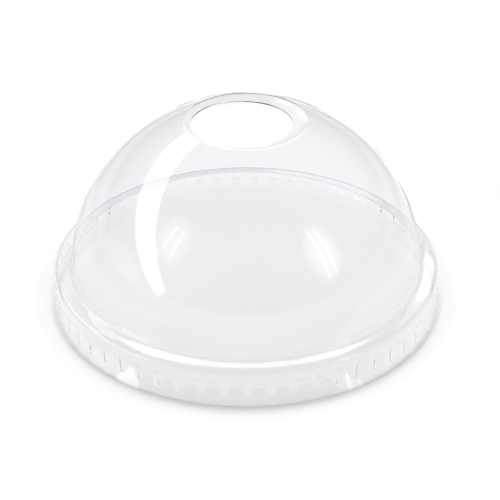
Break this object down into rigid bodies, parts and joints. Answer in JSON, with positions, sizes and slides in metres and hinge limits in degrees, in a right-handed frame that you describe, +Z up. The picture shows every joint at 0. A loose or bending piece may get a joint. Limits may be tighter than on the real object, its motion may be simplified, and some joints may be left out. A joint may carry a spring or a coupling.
{
  "type": "dome lid",
  "caption": "Clear domed drink lid with a round straw hole in its flat top, a rounded bead over a flared skirt, and a ring of snap lugs under the bead.",
  "frame": {"origin": "centre of the skirt's trimmed edge, on the surface that the lid stands on", "axes": "+Z up along the dome's axis to its flat top, -Y towards the viewer, +X to the viewer's right"},
  "size_m": [0.103, 0.103, 0.049],
  "materials": {
    "clear_plastic": "clear, glossy thermoformed sheet"
  },
  "bodies": {
    "root": {"dome_lid": "clear_plastic"}
  },
  "joints": []
}
